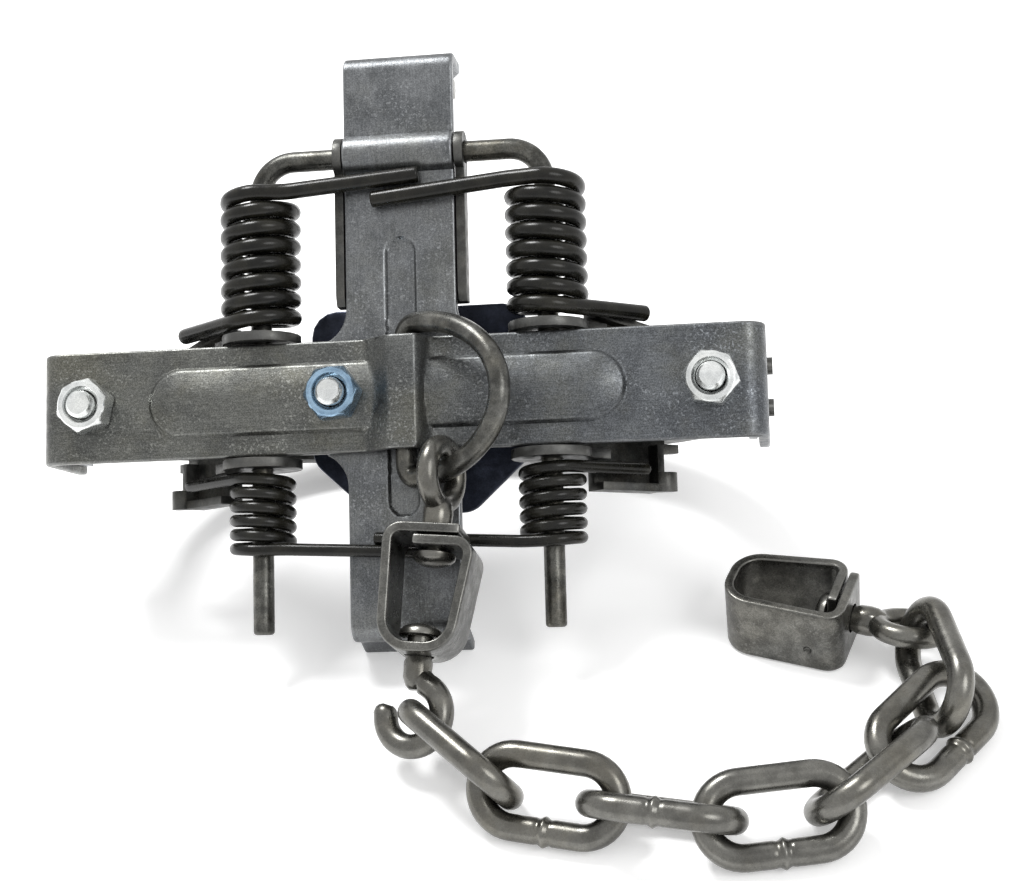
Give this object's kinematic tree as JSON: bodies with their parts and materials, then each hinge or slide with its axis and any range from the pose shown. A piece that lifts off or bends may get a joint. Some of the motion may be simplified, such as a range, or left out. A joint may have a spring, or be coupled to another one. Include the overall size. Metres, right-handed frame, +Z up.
{
  "type": "foothold trap",
  "caption": "Offset-jaw coil-spring foothold trap, closed and lying on its side, with box swivels and a short chain.",
  "frame": {"origin": "middle of the bottom of the part's box, on the floor that it lies on", "axes": "+X along the base bar to the chain's side, +Y from the chain to the trap, +Z up"},
  "size_m": [0.2106, 0.1706, 0.1091],
  "materials": {
    "stamped_steel": "oiled and patinated",
    "spring_steel": "dark oiled",
    "dark_steel": "dark satin",
    "zinc_steel": "zinc plated",
    "blue_zinc_steel": "blue zinc plated",
    "chain_steel": "worn oiled"
  },
  "bodies": {
    "frame": {"base_bar": "stamped_steel", "cross_member": "stamped_steel", "rod_bracket": "stamped_steel", "spring_rod": "spring_steel", "pivot_plate_left": "stamped_steel", "pivot_plate_right": "stamped_steel", "pan_bracket": "stamped_steel", "pan_pin": "zinc_steel", "dog_pin": "zinc_steel", "end_bolt_left": "zinc_steel", "end_bolt_right": "zinc_steel", "middle_bolt": "zinc_steel", "end_nut_left": "zinc_steel", "end_nut_right": "zinc_steel", "middle_nut": "blue_zinc_steel", "spring_dog_left": "spring_steel", "spring_dog_right": "spring_steel", "spring_foot_left": "spring_steel", "spring_foot_right": "spring_steel"},
    "jaw_dog_side": {"jaw_dog_side": "dark_steel"},
    "jaw_far_side": {"jaw_far_side": "dark_steel"},
    "lever_left": {"lever_left": "dark_steel"},
    "lever_right": {"lever_right": "dark_steel"},
    "pan": {"pan": "dark_steel"},
    "dog": {"dog": "dark_steel"},
    "d_ring": {"d_ring": "chain_steel"},
    "eye_1": {"swivel_eye_1": "chain_steel"},
    "box_1": {"swivel_box_1": "chain_steel"},
    "hook": {"swivel_hook": "chain_steel"},
    "link_1": {"chain_link_1": "chain_steel"},
    "link_2": {"chain_link_2": "chain_steel"},
    "link_3": {"chain_link_3": "chain_steel"},
    "link_4": {"chain_link_4": "chain_steel"},
    "link_5": {"chain_link_5": "chain_steel"},
    "link_6": {"chain_link_6": "chain_steel"},
    "link_7": {"chain_link_7": "chain_steel"},
    "eye_2": {"swivel_eye_2": "chain_steel"},
    "box_2": {"swivel_box_2": "chain_steel"}
  },
  "joints": [
    {"name": "jaw_dog_side_swing", "type": "hinge", "parent": "frame", "child": "jaw_dog_side", "pos_m": [-0.02009, 0.02241, 0.04734], "axis": [1, 0, 0], "range_deg": [0, 78]},
    {"name": "jaw_far_side_swing", "type": "hinge", "parent": "frame", "child": "jaw_far_side", "pos_m": [-0.02009, 0.01609, 0.04038], "axis": [-1, 0, 0], "range_deg": [0, 78]},
    {"name": "lever_left_swing", "type": "hinge", "parent": "frame", "child": "lever_left", "pos_m": [-0.05309, 0.01205, 0.0504], "axis": [0, 0.6727, 0.7399], "range_deg": [0, 32.4], "deforming": ["spring_dog_left", "spring_foot_left"]},
    {"name": "lever_right_swing", "type": "hinge", "parent": "frame", "child": "lever_right", "pos_m": [0.01291, 0.01205, 0.0504], "axis": [0, -0.6727, -0.7399], "range_deg": [0, 32.4], "deforming": ["spring_dog_right", "spring_foot_right"]},
    {"name": "pan_tilt", "type": "hinge", "parent": "frame", "child": "pan", "pos_m": [-0.02009, 0.01686, 0.04063], "axis": [1, 0, 0], "range_deg": [-12, 12]},
    {"name": "dog_swing", "type": "hinge", "parent": "frame", "child": "dog", "pos_m": [-0.02009, 0.08188, 0.09254], "axis": [-1, 0, 0], "range_deg": [-110, 34]},
    {"name": "ring_swing", "type": "hinge", "parent": "frame", "child": "d_ring", "pos_m": [-0.01889, 0.00683, 0.05258], "axis": [0, 0.6727, 0.7399], "range_deg": [-75, 0]},
    {"name": "eye_1_swing", "type": "hinge", "parent": "d_ring", "child": "eye_1", "pos_m": [-0.00979, -0.00865, 0.04435], "axis": [-0.8187, 0.2475, -0.5181], "range_deg": [-10, 60]},
    {"name": "box_1_swivel", "type": "hinge", "parent": "eye_1", "child": "box_1", "pos_m": [-0.01085, -0.01913, 0.03653], "axis": [0.0785, 0.7832, 0.6169], "range_deg": [-28, 150]},
    {"name": "hook_swivel", "type": "hinge", "parent": "box_1", "child": "hook", "pos_m": [-0.01435, -0.04074, 0.0195], "axis": [-0.0785, -0.7832, -0.6169], "range_deg": [-90, 90]},
    {"name": "link_1_swing", "type": "hinge", "parent": "hook", "child": "link_1", "pos_m": [-0.01486, -0.05063, 0.01204], "axis": [-0.6446, -0.6141, -0.4555], "range_deg": [-15, 2]},
    {"name": "link_2_swing", "type": "hinge", "parent": "link_1", "child": "link_2", "pos_m": [0.00596, -0.07067, 0.00959], "axis": [-0.1595, -0.7504, 0.6414], "range_deg": [-45, 20]},
    {"name": "link_3_swing", "type": "hinge", "parent": "link_2", "child": "link_3", "pos_m": [0.02849, -0.07383, 0.00891], "axis": [-0.1315, -0.7097, -0.6921], "range_deg": [-45, 45]},
    {"name": "link_4_swing", "type": "hinge", "parent": "link_3", "child": "link_4", "pos_m": [0.05121, -0.07797, 0.00858], "axis": [-0.0846, 0.5944, -0.7997], "range_deg": [-33, 45]},
    {"name": "link_5_swing", "type": "hinge", "parent": "link_4", "child": "link_5", "pos_m": [0.07403, -0.07376, 0.00769], "axis": [0.5585, -0.5227, -0.6441], "range_deg": [-36, 45]},
    {"name": "link_6_swing", "type": "hinge", "parent": "link_5", "child": "link_6", "pos_m": [0.0881, -0.05455, 0.00867], "axis": [0.355, -0.2854, 0.8902], "range_deg": [-45, 39]},
    {"name": "link_7_swing", "type": "hinge", "parent": "link_6", "child": "link_7", "pos_m": [0.10028, -0.03947, 0.00662], "axis": [0.8999, 0.1571, -0.4067], "range_deg": [-60, 0]},
    {"name": "eye_2_swing", "type": "hinge", "parent": "link_7", "child": "eye_2", "pos_m": [0.0902, -0.02228, 0.00976], "axis": [-0.4007, -0.0699, -0.9135], "range_deg": [-45, 60]},
    {"name": "box_2_swivel", "type": "hinge", "parent": "eye_2", "child": "box_2", "pos_m": [0.07711, -0.01887, 0.008], "axis": [-0.9511, 0.309, 0], "range_deg": [-150, 150]}
  ],
  "couplings": [
    {"joint": "jaw_far_side_swing", "follows": "jaw_dog_side_swing", "ratio": 1},
    {"joint": "lever_left_swing", "follows": "jaw_dog_side_swing", "ratio": 0.415},
    {"joint": "lever_right_swing", "follows": "jaw_dog_side_swing", "ratio": 0.415}
  ]
}
